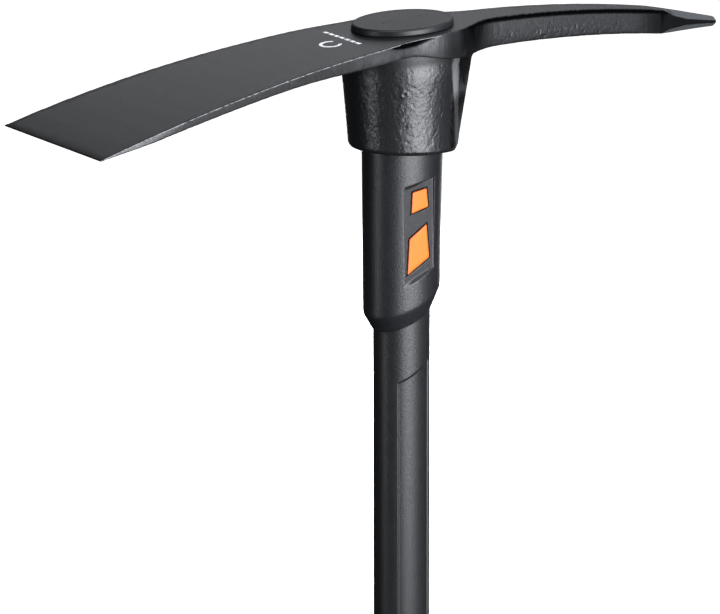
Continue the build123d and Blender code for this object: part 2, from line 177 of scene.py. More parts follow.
def oval(angles, half_x, half_y, centre_x, z, stand=0.0):
    """One ring on an oval, stood off along its normal."""
    across, up = np.cos(angles), np.sin(angles)
    normal = np.stack([half_y * across, half_x * up], -1)
    normal /= np.linalg.norm(normal, axis=-1, keepdims=True)
    stand = np.asarray(stand)[..., None] * np.ones(2)
    flat = np.stack([centre_x + half_x * across, half_y * up], -1) + stand * normal
    heights = np.broadcast_to(z, angles.shape)
    return np.concatenate([flat, heights[:, None]], -1)


def even_angles(count):
    """Angles evenly round a turn."""
    return np.linspace(0, 2 * pi, count, endpoint=False)


def spread_angles(fine_half_width, half_x, fine_step, coarse_step):
    """Angles round an oval, close together on its flat sides and further apart round its ends."""
    edge = np.arccos(fine_half_width / half_x)
    fine = int(np.ceil((pi - 2 * edge) * half_x / fine_step))
    coarse = int(np.ceil(2 * edge * half_x / coarse_step))
    pieces = [
        np.linspace(-edge, edge, coarse, endpoint=False),
        np.linspace(edge, pi - edge, fine, endpoint=False),
        np.linspace(pi - edge, pi + edge, coarse, endpoint=False),
        np.linspace(pi + edge, 2 * pi - edge, fine, endpoint=False),
    ]
    return np.concatenate(pieces)


def heights(*runs):
    """Heights from runs of (start, step), the last run giving the end alone."""
    values = []
    for (start, step), (end, _) in zip(runs, runs[1:]):
        count = max(1, int(round((end - start) / step)))
        values.append(np.linspace(start, end, count, endpoint=False))
    values.append([runs[-1][0]])
    return np.concatenate(values)


# ---------------------------------------------------------------- camera, lights and floor

VIEW_AZIMUTH = radians(-40.88)
VIEW_ELEVATION = radians(18.742)
VIEW_TARGET = Vector((0.0, 0.0, 0.7595))
VIEW_DISTANCE = 1.5368
VIEW_LENS = 126.68
VIEW_SENSOR = 36.0
VIEW_SHIFT = (-0.0577, -0.0531)

camera_data = bpy.data.cameras.new("camera")
camera_data.lens = VIEW_LENS
camera_data.sensor_width = VIEW_SENSOR
camera_data.shift_x, camera_data.shift_y = VIEW_SHIFT
camera_data.clip_end = 60.0
camera = bpy.data.objects.new("camera", camera_data)
scene.collection.objects.link(camera)
back = Vector(
    (
        sin(VIEW_AZIMUTH) * cos(VIEW_ELEVATION),
        -cos(VIEW_AZIMUTH) * cos(VIEW_ELEVATION),
        sin(VIEW_ELEVATION),
    )
)
camera.location = VIEW_TARGET + back * VIEW_DISTANCE
camera.rotation_euler = back.to_track_quat("Z", "Y").to_euler()
scene.camera = camera

# Name, azimuth from the camera's side in degrees (right is positive), height, distance, the box's own
# width and height, watts, and the height on the handle's axis that it points at
SOFTBOXES = [
    ("tall_box_right", 54, 0.78, 1.9, (1.2, 1.9), 86, 0.78),
    ("high_side_box", 104, 2.3, 1.3, (0.7, 0.7), 9, 0.9),
    ("strip_box_left", -40, 0.8, 2.0, (0.28, 1.7), 13, 0.8),
    ("back_sheet", 174, 1.85, 2.4, (2.6, 1.3), 7.7, 0.88),
    ("low_back_strip", 160, 0.45, 1.5, (0.5, 0.4), 1.6, 0.8),
    ("top_box", 20, 2.7, 0.5, (1.2, 1.2), 16, 0.9),
    ("back_low_box", 182, 0.34, 1.9, (0.8, 0.62), 12, 0.6),
]
BACK_FILL = ("back_fill", 180, 1.2, 2.2, (2.0, 2.0), 110, 0.6)  # casts no reflection of its own
LIGHT_TONE = (0.97, 0.99, 1.03)


def softbox(name, azimuth, height, distance, size, power, aim_height):
    """A rectangular light that points at the handle's axis."""
    light = bpy.data.lights.new(name, "AREA")
    light.shape = "RECTANGLE"
    light.size, light.size_y = size
    light.energy = power
    light.color = LIGHT_TONE
    lamp = bpy.data.objects.new(name, light)
    scene.collection.objects.link(lamp)
    turn = VIEW_AZIMUTH + radians(azimuth)
    lamp.location = (sin(turn) * distance, -cos(turn) * distance, height)
    aim = lamp.location - Vector((0, 0, aim_height))
    lamp.rotation_euler = aim.to_track_quat("Z", "Y").to_euler()
    return lamp


for box in SOFTBOXES:
    softbox(*box)
softbox(*BACK_FILL).visible_glossy = False

FLOOR_REACH = 14.0
FLOOR_GLOW = 1.05
BACKDROP_GLOW = 1.05
STUDIO_DIM = 0.03
floor_turns = even_angles(96)
floor_mesh = bpy.data.meshes.new("studio_floor")
floor_mesh.from_pydata(
    [(FLOOR_REACH * cos(a), FLOOR_REACH * sin(a), 0.0) for a in floor_turns],
    [],
    [tuple(range(len(floor_turns)))],
)
floor = bpy.data.objects.new("studio_floor", floor_mesh)
scene.collection.objects.link(floor)
floor.visible_glossy = False
floor.visible_diffuse = False

world = bpy.data.worlds.new("studio")
world.use_nodes = True
scene.world = world
scene.view_settings.view_transform = "Standard"

# ---------------------------------------------------------------- shader tools


def put(tree, kind, sockets=None, **settings):
    """A new node; each socket is given a value or linked to an output."""
    node = tree.nodes.new(kind)
    for key, value in settings.items():
        setattr(node, key, value)
    for key, value in (sockets or {}).items():
        socket = node.inputs[key]
        if isinstance(value, bpy.types.NodeSocket):
            tree.links.new(value, socket)
        else:
            socket.default_value = value
    return node


def tone(red, green, blue):
    """A colour given as it looks on a screen, from 0 to 255."""
    values = [v / 255 for v in (red, green, blue)]
    return tuple(v / 12.92 if v <= 0.04045 else ((v + 0.055) / 1.055) ** 2.4 for v in values) + (1.0,)


def effect(name, inputs, outputs):
    """A shader node group with named inputs (name, kind, value) and outputs (name, kind)."""
    group = bpy.data.node_groups.new(name, "ShaderNodeTree")
    kinds = {"value": "NodeSocketFloat", "colour": "NodeSocketColor", "vector": "NodeSocketVector"}
    for label, kind, value in inputs:
        socket = group.interface.new_socket(label, in_out="INPUT", socket_type=kinds[kind])
        socket.default_value = value
    for label, kind in outputs:
        group.interface.new_socket(label, in_out="OUTPUT", socket_type=kinds[kind])
    return group, group.nodes.new("NodeGroupInput").outputs, group.nodes.new("NodeGroupOutput").inputs


def maths(tree, operation, *values):
    """The result of a Math node."""
    return put(tree, "ShaderNodeMath", dict(enumerate(values)), operation=operation).outputs[0]


def widened(tree, value, low, high, to_low=0.0, to_high=1.0):
    """The part of a value from low to high, spread over a new range."""
    sockets = {"Value": value, "From Min": low, "From Max": high, "To Min": to_low, "To Max": to_high}
    return put(tree, "ShaderNodeMapRange", sockets).outputs[0]


def clouds(tree, place, detail, roughness):
    """Soft noise from 0 to 1."""
    sockets = {"Vector": place, "Scale": 1.0, "Detail": detail, "Roughness": roughness}
    return put(tree, "ShaderNodeTexNoise", sockets).outputs[0]


def place_at(tree, size, stretch=(1.0, 1.0, 1.0)):
    """Object coordinates scaled so that one unit is a pattern's size, stretched along the axes."""
    place = put(tree, "ShaderNodeTexCoord").outputs["Object"]
    place = put(tree, "ShaderNodeVectorMath", {0: place, 1: stretch}, operation="MULTIPLY").outputs[0]
    return put(tree, "ShaderNodeVectorMath", {0: place, "Scale": size}, operation="SCALE").outputs[0]


def make_uneven_tone():
    """A colour that drifts a little lighter and darker in soft patches."""
    tree, given, out = effect(
        "uneven_tone",
        [
            ("Colour", "colour", (0.05, 0.05, 0.05, 1)),
            ("Shift", "value", 0.2),
            ("Patches per Metre", "value", 30.0),
        ],
        [("Colour", "colour")],
    )
    cloud = clouds(tree, place_at(tree, given["Patches per Metre"]), 5.0, 0.6)
    change = maths(tree, "MULTIPLY", widened(tree, cloud, 0.3, 0.7, -1.0, 1.0), given["Shift"])
    sockets = {0: given["Colour"], "Scale": maths(tree, "ADD", change, 1.0)}
    colour = put(tree, "ShaderNodeVectorMath", sockets, operation="SCALE").outputs[0]
    tree.links.new(colour, out["Colour"])
    return tree


def make_fine_grain():
    """The grain of moulded plastic or of paint: a height and a matching mask."""
    tree, given, out = effect(
        "fine_grain",
        [("Grains per Metre", "value", 2500.0), ("Softness", "value", 0.5)],
        [("Height", "value"), ("Pits", "value")],
    )
    place = place_at(tree, given["Grains per Metre"])
    fine = clouds(tree, place, 3.0, given["Softness"])
    cells = put(tree, "ShaderNodeTexVoronoi", {"Vector": place, "Scale": 0.7}).outputs["Distance"]
    tree.links.new(maths(tree, "MULTIPLY_ADD", cells, 0.5, fine), out["Height"])
    tree.links.new(widened(tree, fine, 0.35, 0.65), out["Pits"])
    return tree


def make_drawn_lines():
    """Fine lines left by a shear or a grinding belt, along a direction where the stretch is small."""
    tree, given, out = effect(
        "drawn_lines",
        [("Lines per Metre", "value", 900.0), ("Stretch", "vector", (1.0, 1.0, 0.05))],
        [("Height", "value"), ("Light Lines", "value")],
    )
    lines = clouds(tree, place_at(tree, given["Lines per Metre"], given["Stretch"]), 3.0, 0.65)
    tree.links.new(lines, out["Height"])
    tree.links.new(widened(tree, lines, 0.4, 0.72), out["Light Lines"])
    return tree


def make_worn_edge():
    """Where paint has rubbed off a marked edge, broken up by noise."""
    tree, given, out = effect(
        "worn_edge",
        [("Edge", "value", 0.0), ("Breaks per Metre", "value", 350.0), ("Wear", "value", 0.5)],
        [("Bare", "value")],
    )
    chips = clouds(tree, place_at(tree, given["Breaks per Metre"]), 4.0, 0.7)
    level = maths(tree, "MULTIPLY", maths(tree, "ADD", chips, given["Wear"]), given["Edge"])
    tree.links.new(widened(tree, level, 0.62, 0.8), out["Bare"])
    return tree


uneven_tone = make_uneven_tone()
fine_grain = make_fine_grain()
drawn_lines = make_drawn_lines()
worn_edge = make_worn_edge()


def use(tree, group, **sockets):
    """Places an effect; underscores in the names stand for spaces."""
    named = {key.replace("_", " "): value for key, value in sockets.items()}
    return put(tree, "ShaderNodeGroup", named, node_tree=group).outputs


def finish_material(name):
    """A new material, with its tree and its shader."""
    material = bpy.data.materials.new(name)
    material.use_nodes = True
    tree = material.node_tree
    return material, tree, tree.nodes["Principled BSDF"]


def blend_values(tree, factor, first, second):
    """A value between two, by a mask."""
    return put(tree, "ShaderNodeMix", {0: factor, 2: first, 3: second}, data_type="FLOAT").outputs[0]


def blend_colours(tree, factor, first, second):
    """A colour between two, by a mask."""
    return put(tree, "ShaderNodeMix", {0: factor, 6: first, 7: second}, data_type="RGBA").outputs[2]


def mark(tree, name):
    """A mask painted on the mesh's points."""
    return put(tree, "ShaderNodeAttribute", attribute_name=name).outputs["Fac"]


def bump(tree, height, depth, under=None):
    """A normal bumped by a height, in metres of depth, over the bump under it."""
    sockets = {"Height": height, "Distance": depth, "Strength": 1.0}
    if under is not None:
        sockets["Normal"] = under
    return put(tree, "ShaderNodeBump", sockets).outputs[0]


GRAIN_SMOOTHER, GRAIN_ROUGHER = 0.05, 0.06


def moulded(name, colour, roughness, gloss, grains, depth, shift=0.15, patches=60.0, rim_shade_colour=None):
    """Moulded plastic or rubber: a slightly uneven tone, a fine grain and a roughness that follows it."""
    material, tree, shader = finish_material(name)
    tinted = use(tree, uneven_tone, Colour=colour, Shift=shift, Patches_per_Metre=patches)["Colour"]
    grain = use(tree, fine_grain, Grains_per_Metre=grains)
    # A rim colour is painted shade: it darkens the marked rim where the sides stand in shade.
    if rim_shade_colour:
        tinted = blend_colours(tree, mark(tree, "rim"), tinted, rim_shade_colour)
    tree.links.new(tinted, shader.inputs["Base Color"])
    rough = blend_values(tree, grain["Pits"], roughness - GRAIN_SMOOTHER, roughness + GRAIN_ROUGHER)
    tree.links.new(rough, shader.inputs["Roughness"])
    shader.inputs["Specular IOR Level"].default_value = gloss
    tree.links.new(bump(tree, grain["Height"], depth), shader.inputs["Normal"])
    return material


PAINT_TONE = tone(28, 29, 31)
SHEARED_TONES = (tone(16, 17, 19), tone(40, 41, 44))
# Steel grey for the bared steel at the blade's end and for painted light on facets
GROUND_AND_LIT_TONE = tone(92, 94, 97)
# Near-black colour of the painted shade
SHADE_TONE = tone(5, 5, 6)
BARE_TONE = tone(150, 152, 155)
BARE_METAL = 0.35
PAINT_ROUGHNESS = (0.36, 0.44)
BEATEN_ROUGHNESS = 0.34
SHEARED_ROUGHNESS = 0.34
SHADE_ROUGHNESS = 0.6
PAINT_GLOSS = 0.6
GRAIN_DEPTH = 0.03 * MM
SHEARED_DEPTH = 0.14 * MM
BEATEN_DEPTH = 0.16 * MM


def forged_paint():
    """The head: satin paint, lumpy where it was forged, drawn where it was sheared, bare on its edges."""
    material, tree, shader = finish_material("forged_paint")
    lumpy, sheared, ground_and_lit, shade = (mark(tree, name) for name in ("lumpy", "sheared", "ground_and_lit", "shade"))
    paint = use(tree, uneven_tone, Colour=PAINT_TONE, Shift=0.10, Patches_per_Metre=22.0)["Colour"]
    lines = use(tree, drawn_lines, Lines_per_Metre=1900.0, Stretch=(1.0, 1.0, 0.05))
    grain = use(tree, fine_grain, Grains_per_Metre=1500.0)
    dents = use(tree, fine_grain, Grains_per_Metre=620.0, Softness=0.6)["Height"]
    bare = use(tree, worn_edge, Edge=mark(tree, "edge"), Wear=0.30, Breaks_per_Metre=420.0)["Bare"]

    colour = blend_colours(tree, sheared, paint, blend_colours(tree, lines["Light Lines"], *SHEARED_TONES))
    # Lighter steel grey: steel bared by grinding at the blade's end, and painted light on the point's facets,
    # the socket's flat and the sides near the socket.
    colour = blend_colours(tree, ground_and_lit, colour, GROUND_AND_LIT_TONE)
    # Painted shade: near-black colour where shade falls, on the nick, the creases and the shaded sides.
    colour = blend_colours(tree, shade, colour, SHADE_TONE)
    colour = blend_colours(tree, bare, colour, BARE_TONE)
    tree.links.new(colour, shader.inputs["Base Color"])

    metal = maths(tree, "MULTIPLY", maths(tree, "MAXIMUM", bare, ground_and_lit), BARE_METAL)
    # The painted shade is also made fully metallic over its near-black colour, so that it reflects almost
    # nothing.
    tree.links.new(maths(tree, "MAXIMUM", metal, shade), shader.inputs["Metallic"])

    rough = blend_values(tree, grain["Pits"], *PAINT_ROUGHNESS)
    rough = blend_values(tree, lumpy, rough, BEATEN_ROUGHNESS)
    rough = blend_values(tree, sheared, rough, SHEARED_ROUGHNESS)
    rough = blend_values(tree, shade, rough, SHADE_ROUGHNESS)
    tree.links.new(rough, shader.inputs["Roughness"])
    shader.inputs["Specular IOR Level"].default_value = PAINT_GLOSS

    normal = bump(tree, grain["Height"], GRAIN_DEPTH)
    normal = bump(tree, maths(tree, "MULTIPLY", lines["Height"], sheared), SHEARED_DEPTH, normal)
    normal = bump(tree, maths(tree, "MULTIPLY", dents, lumpy), BEATEN_DEPTH, normal)
    tree.links.new(normal, shader.inputs["Normal"])
    return material


def light_studio():
    """A dim studio round the object, with a plain white backdrop behind it."""
    tree = world.node_tree
    dim = tree.nodes["Background"]
    dim.inputs["Color"].default_value = (0.9, 0.95, 1.0, 1)
    dim.inputs["Strength"].default_value = STUDIO_DIM
    backdrop = put(tree, "ShaderNodeBackground", {"Color": (1, 1, 1, 1), "Strength": BACKDROP_GLOW})
    seen = put(tree, "ShaderNodeLightPath").outputs["Is Camera Ray"]
    both = put(tree, "ShaderNodeMixShader", {0: seen, 1: dim.outputs[0], 2: backdrop.outputs[0]})
    tree.links.new(both.outputs[0], tree.nodes["World Output"].inputs["Surface"])


light_studio()
head_finish = forged_paint()

# Name, colour, roughness, gloss, grains per metre, grain depth, then the tone's shift and patches per metre
cap_finish = moulded("cap_satin", tone(28, 29, 31), 0.42, 0.45, 2600.0, 0.02 * MM)
guard_finish = moulded("guard_satin", tone(26, 27, 30), 0.40, 0.5, 1300.0, 0.11 * MM, 0.2, 160.0)
shaft_finish = moulded("shaft_satin", tone(25, 26, 28), 0.42, 0.5, 1200.0, 0.09 * MM, 0.2, 160.0)
print_finish = moulded("white_print", tone(235, 236, 238), 0.5, 0.4, 2000.0, 0.01 * MM, 0.06, 300.0)
# The inlays' darker rim colour is painted shade on their edges.
inlay_finish = moulded(
    "inlay_orange", tone(236, 121, 34), 0.45, 0.4, 2200.0, 0.02 * MM, 0.05, rim_shade_colour=tone(150, 62, 14)
)
grip_finish = moulded("grip_rubber", tone(22, 22, 23), 0.62, 0.35, 1800.0, 0.08 * MM)
butt_finish = moulded("butt_satin", tone(26, 27, 28), 0.45, 0.45, 2400.0, 0.03 * MM)
liner_finish = moulded("liner_rubber", tone(20, 20, 20), 0.7, 0.3, 1500.0, 0.06 * MM)
core_finish = moulded("glass_fibre", tone(206, 190, 140), 0.5, 0.4, 1200.0, 0.04 * MM)

floor_finish, floor_tree, floor_shader = finish_material("studio_floor")
floor_colour = use(
    floor_tree, uneven_tone, Colour=(0.86, 0.86, 0.86, 1), Shift=0.01, Patches_per_Metre=0.8
)["Colour"]
floor_tree.links.new(floor_colour, floor_shader.inputs["Base Color"])
floor_shader.inputs["Roughness"].default_value = 0.9
floor_shader.inputs["Specular IOR Level"].default_value = 0.0
floor_shader.inputs["Emission Color"].default_value = (1, 1, 1, 1)
floor_shader.inputs["Emission Strength"].default_value = FLOOR_GLOW
floor.data.materials.append(floor_finish)

for node, finish in (("insulation_sleeve", liner_finish), ("core_rod", core_finish)):
    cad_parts[node].data.materials.clear()
    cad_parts[node].data.materials.append(finish)

# ---------------------------------------------------------------- the forged head

SKIN_DEPTH = 10
SKIN_SCALE = 0.99
FACES_KEPT = 0.25
EDGE_TURN = 0.12
FACET_FACING = np.array([0.616, -0.788, 0.0])  # the narrow flat beside the socket's keel, on the front
SOCKET_TOP = 15.5 * MM
SOCKET_REACH = 60 * MM
SHOULDER = (14 * MM, 29 * MM)
SHOULDER_ROUNDS = 40
FOOT_DROP = 1.3 * MM
ARM_START, ARM_END = 50 * MM, 213 * MM
ARM_DEPTH = 17 * MM
ARM_SWELL = 0.9 * MM
HAMMER_LUMPS = ((7.0 * MM, 0.07, 1), (3.2 * MM, 0.062, 2), (1.8 * MM, 0.04, 3))  # width, height in mm, seed
BRUISE_PLACE = np.array([-19.8, -24.9, 877.3]) * MM
BRUISE_RING = (2.0, 0.7, 0.2)  # radius, width and height, in millimetres
BRUISE_DENT = (1.1, 0.16)  # width and depth, in millimetres
TOP_WAVE = 0.05
EDGE_ROUNDS = 3
PLATE_EDGE = (-1 * MM, 1.6 * MM)
CHIP_LEAST, CHIP_MORE = 0.22, 0.36
NICK_MIDDLE = -19 * MM
NICK_HALF_LENGTH = 18.5 * MM
NICK_REACH = 3.4 * MM
NICK_TOP, NICK_FOOT = 0.7 * MM, 4.2 * MM
NICK_SOFT = 0.5 * MM
NICK_CUT = (0.9 * MM, 0.1 * MM)  # inwards and upwards
SHEARED_FOOT = 11.5 * MM
BLADE_END = 196 * MM
POINT_FACETS_START = 204 * MM
CREASE_ROUNDS = 3


def dense_copy(node, name):
    """The CAD node's shape as an even skin of small faces that keeps its edges."""
    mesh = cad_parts[node].data.copy()
    welded = bmesh.new()
    welded.from_mesh(mesh)
    bmesh.ops.remove_doubles(welded, verts=welded.verts, dist=2e-6)
    welded.to_mesh(mesh)
    welded.free()
    source = bpy.data.objects.new(name + "_source", mesh)
    scene.collection.objects.link(source)
    remesh = source.modifiers.new("even_skin", "REMESH")
    remesh.mode = "SHARP"
    remesh.octree_depth = SKIN_DEPTH
    remesh.scale = SKIN_SCALE
    remesh.use_remove_disconnected = False
    skin = bpy.data.meshes.new_from_object(
        source.evaluated_get(bpy.context.evaluated_depsgraph_get())
    )
    bpy.data.objects.remove(source)
    skin.name = name
    return skin


def skin_arrays(mesh):
    """Points and edges of a mesh as arrays."""
    points = np.empty(len(mesh.vertices) * 3)
    mesh.vertices.foreach_get("co", points)
    edges = np.empty(len(mesh.edges) * 2, int)
    mesh.edges.foreach_get("vertices", edges)
    return points.reshape(-1, 3), edges.reshape(-1, 2)


def neighbour_mean(values, edges):
    """Each point's mean over its neighbours."""
    count = len(values)
    first, second = edges.T
    degree = np.bincount(first, minlength=count) + np.bincount(second, minlength=count)
    columns = []
    for column in values.reshape(count, -1).T:
        total = np.bincount(first, column[second], count) + np.bincount(second, column[first], count)
        columns.append(total / degree)
    return np.stack(columns, -1).reshape(values.shape)


def grown(values, edges, rounds, fade):
    """Values spread outwards over neighbouring points, weaker at each round."""
    first, second = edges.T
    for _ in range(rounds):
        wider = values.copy()
        np.maximum.at(wider, first, fade * values[second])
        np.maximum.at(wider, second, fade * values[first])
        values = wider
    return values


def mean_normals(mesh, count):
    """Each point's mean face normal; short where the faces round it differ."""
    total = np.zeros((count, 3))
    used = np.zeros(count)
    normals = np.empty(len(mesh.polygons) * 3)
    mesh.polygons.foreach_get("normal", normals)
    corners = np.empty(len(mesh.loops), int)
    mesh.loops.foreach_get("vertex_index", corners)
    sizes = np.empty(len(mesh.polygons), int)
    mesh.polygons.foreach_get("loop_total", sizes)
    np.add.at(total, corners, np.repeat(normals.reshape(-1, 3), sizes, axis=0))
    np.add.at(used, corners, 1)
    return total / used[:, None]


def set_mark(mesh, name, values):
    """Writes a mask on the mesh's points."""
    attribute = mesh.attributes.new(name, "FLOAT", "POINT")
    attribute.data.foreach_set("value", values.astype(np.float32))


def head_parts(points, out):
    """Each skin point's depth under the crown, its height over the foot, and its share in each part."""
    x, _, z = points.T
    depth = crown_z(x) - z
    radial = points[:, :2] - np.array([EYE_SHIFT, 0.0])
    outward = smooth_step((out[:, :2] * radial).sum(1) / np.linalg.norm(radial, axis=1) / 0.3)
    lying = np.abs(out[:, 2])
    side = fall(lying, 0.75, 0.25)
    facet = rise(out @ FACET_FACING, 0.955, 0.02) * (depth > 20 * MM)
    return SimpleNamespace(
        depth=depth,
        above_foot=z - SOCKET_FOOT + x * FOOT_FALL,
        outward=outward,
        side=side,
        steep=fall(lying, 0.95, 0.1),
        slanted=rise(lying, 0.25, 0.15),
        facet=facet,
        socket=outward * rise(depth, SOCKET_TOP, 5 * MM) * (np.abs(x) < SOCKET_REACH) * (1 - facet),
        arm=side * rise(x, ARM_START, 15 * MM) * fall(x, ARM_END, 22 * MM),
    )


def fill_out(points, edges, out, part):
    """Runs the shoulder into the plate, fills the foot's pick-side corner and swells the arm's sides."""
    x, y, _ = points.T
    ease = part.outward * band(part.depth, *SHOULDER, 4 * MM) * fall(x, 20 * MM, 6 * MM)
    ease = ease * (np.abs(out[:, 2]) < 0.5)
    for _ in range(SHOULDER_ROUNDS):
        points = points + 0.9 * ease[:, None] * (neighbour_mean(points, edges) - points)
    points[:, 2] -= FOOT_DROP * rise(x, 8 * MM, 22 * MM) * fall(part.above_foot, 7 * MM, 5 * MM)
    share = part.depth / ARM_DEPTH
    points[:, 1] += np.sign(y) * part.arm * np.clip(4 * share * (1 - share), 0, 1) * ARM_SWELL
    return points


def forged_surface(points, out, part):
    """How far the forging's lumps, pits and waves stand out at each point, in metres."""
    shift = np.zeros(len(points))

    # Hammered lumps on the socket, a few pits among them, and a ring-shaped bruise high on the front
    spots = np.flatnonzero(part.socket > 0)
    spot = points[spots]
    hammer = sum(height * lumps(spot, width, seed) for width, height, seed in HAMMER_LUMPS)
    patch = 0.6 + 0.6 * smooth_step(0.5 + 0.9 * lumps(spot, 19 * MM, 4))
    pits = 0.10 * rise(lumps(spot, 2.4 * MM, 5), 0.3, 0.2)
    away = np.linalg.norm(spot - BRUISE_PLACE, axis=1) / MM
    radius, width, height = BRUISE_RING
    dent_width, dent_depth = BRUISE_DENT
    ring = height * np.exp(-(((away - radius) / width) ** 2))
    dent = dent_depth * np.exp(-((away / dent_width) ** 2))
    shift[spots] = part.socket[spots] * (hammer * patch - pits * patch + ring - dent) * MM

    # Scale pits along the pick arm's sides, rougher towards its underside
    spots = np.flatnonzero(part.arm > 0)
    spot = points[spots]
    lower = 0.4 + 0.9 * rise(part.depth[spots], 6 * MM, 8 * MM)
    scale = 0.07 * lumps(spot, 3.4 * MM, 6) - 0.16 * rise(lumps(spot, 2.3 * MM, 7), 0.38, 0.2)
    shift[spots] += part.arm[spots] * lower * scale * MM

    # The plate's top is very slightly wavy
    top = rise(out[:, 2], 0.8, 0.15) * fall(part.depth, 3 * MM, 2 * MM)
    spots = np.flatnonzero(top > 0)
    shift[spots] += top[spots] * TOP_WAVE * lumps(points[spots], 30 * MM, 8) * MM
    return shift


def wear_edges(points, edges, out, near, depth):
    """Softens every edge, then chips the plate's upper edges."""
    for _ in range(EDGE_ROUNDS):
        points = points + 0.5 * near[:, None] * (neighbour_mean(points, edges) - points)
    between = rise(out[:, 2], 0.1, 0.25) * fall(out[:, 2], 0.98, 0.05)
    rim = near * between * band(depth, *PLATE_EDGE, 0.8 * MM)
    spots = np.flatnonzero(rim > 0.05)
    spot = points[spots]
    chips = rise(lumps(spot, 3.2 * MM, 9), 0.15, 0.3)
    chips = chips * (0.3 + 0.7 * smooth_step(lumps(spot, 24 * MM, 10) + 0.4))
    points[spots] -= (rim[spots] * (CHIP_LEAST + CHIP_MORE * chips) * MM)[:, None] * out[spots]
    return points


def strike_nick(points, part):
    """Strikes a flat into the near side, just under its upper edge, and returns where it lies."""
    x, y, _ = points.T
    depth = part.depth
    along = (x - NICK_MIDDLE) / NICK_HALF_LENGTH
    reach = NICK_REACH * np.clip(1 - along**2, 0, 1) ** 0.6 * (1 - 0.5 * rise(x, -18 * MM, 14 * MM))
    nick = part.side * (y < -20 * MM) * smooth_step((reach - (depth - NICK_TOP)) / NICK_SOFT)
    nick = nick * (depth > NICK_TOP) * (np.abs(along) < 1) * (depth < NICK_FOOT)
    points[:, 1] += nick * NICK_CUT[0]
    points[:, 2] += nick * NICK_CUT[1]
    return nick


def worn_rim(points, part):
    """Where paint may rub off: the blade's long upper edges."""
    x, y, _ = points.T
    worn = part.steep * fall(x, 8 * MM, 6 * MM) * band(part.depth, -1 * MM, 0.6 * MM, 0.5 * MM)
    worn = worn * np.where(y < 0, 1.0, rise(part.depth, 0.3 * MM, 0.3 * MM))
    return np.clip(worn, 0, 1)


def sheared_sides(points, part):
    """Where the sides keep the lines of the shear, weaker on the arm."""
    sheared = part.side * (1 - rise(part.depth, SHEARED_FOOT, 3 * MM))
    return np.maximum(sheared * fall(points[:, 0], 18 * MM, 22 * MM), 0.75 * part.arm)


def ground_steel_and_light(points, part):
    """Where paint is thin over steel bared by grinding at the blade's end, and painted light on the point's
    facets, the socket's narrow flat and the sides near the socket.
    """
    x, depth = points[:, 0], part.depth
    tip = rise(-x, BLADE_END, 30 * MM) * (1 - rise(depth, 6 * MM, 2 * MM))
    near_socket = band(x, -46 * MM, 2 * MM, 10 * MM) * (depth < 14 * MM)
    # Painted light: the point's facets are made lighter.
    point_facets = rise(x, POINT_FACETS_START, 5 * MM) * part.steep * part.slanted
    sides = part.side * np.maximum(0.42 * tip, 0.2 * near_socket)
    return np.maximum(sides, np.maximum(0.9 * point_facets, 0.3 * part.facet * (part.above_foot > 34 * MM)))


def painted_shades(points, edges, out, edge, nick, part):
    """Painted shade: dull, nearly black colour where shade falls, on the nick, the creases, the tuck under
    the plate and the shaded sides.
    """
    x, y, _ = points.T
    side, facet, depth, above_foot = part.side, part.facet, part.depth, part.above_foot
    creases = grown(edge, edges, CREASE_ROUNDS, 0.8)
    flank = side * rise(x, 4 * MM, 16 * MM) * (1 - 0.9 * rise(x, 38 * MM, 24 * MM))
    flank = flank * (1 - facet) * smooth_step((x - 24 * MM) / (6 * MM) + fall(depth, 13 * MM, 2 * MM))
    facet_foot = facet * fall(above_foot, 38 * MM, 10 * MM)
    tuck = band(depth, 11 * MM, 15 * MM, 4 * MM) * part.outward * (np.abs(x) < 40 * MM) * (1 - facet)
    arm_line = side * (x > 30 * MM) * (x < 225 * MM) * band(depth, 0.3 * MM, 2.6 * MM, 1.3 * MM)
    blade_middle = side * band(-x, 75 * MM, 185 * MM, 25 * MM)
    point_strip = side * (1 - part.slanted) * rise(x, 175 * MM, 40 * MM)
    near_creases = creases * side * (depth > 3 * MM) * (x < 190 * MM)
    far_creases = creases * (y > 0) * (out[:, 2] > 0.3) * (x < 200 * MM)
    cutting_edge = fall(x, head_low.x + 7 * MM, 9 * MM) * smooth_step(out[:, 2] / 0.5)
    shades = [
        nick,
        0.82 * flank,
        0.95 * facet_foot,
        0.45 * tuck,
        arm_line,
        0.5 * blade_middle,
        0.85 * point_strip,
        0.75 * near_creases,
        0.7 * far_creases,
        0.8 * cutting_edge,
    ]
    return np.clip(np.max(shades, axis=0), 0, 1)


def forge_head():
    """The head: softened and chipped edges, a hammered socket, sheared sides and a nick beside the cap."""
    mesh = dense_copy("pick_head", "head_forging")
    points, edges = skin_arrays(mesh)
    normals = mean_normals(mesh, len(points))
    lengths = np.linalg.norm(normals, axis=1)
    out = normals / lengths[:, None]
    convex = ((neighbour_mean(points, edges) - points) * out).sum(1) < 0
    edge = np.where(convex, np.clip((1 - lengths) / EDGE_TURN, 0, 1), 0.0)
    near = edge.copy()
    for _ in range(EDGE_ROUNDS):
        near = np.maximum(near, 0.95 * neighbour_mean(near, edges))

    part = head_parts(points, out)
    points = fill_out(points, edges, out, part)
    points = points + forged_surface(points, out, part)[:, None] * out
    points = wear_edges(points, edges, out, near, part.depth)
    nick = strike_nick(points, part)

    mesh.vertices.foreach_set("co", points.ravel())
    set_mark(mesh, "edge", worn_rim(points, part))
    set_mark(mesh, "lumpy", part.socket)
    set_mark(mesh, "sheared", sheared_sides(points, part))
    # Steel bared by grinding at the blade's end, with painted light on the point's facets, the socket's flat
    # and the sides near the socket.
    set_mark(mesh, "ground_and_lit", ground_steel_and_light(points, part))
    # Painted shade: near-black marks on the nick, the creases and the shaded sides and strips.
    set_mark(mesh, "shade", painted_shades(points, edges, out, edge, nick, part))
    mesh.update()
    return mesh


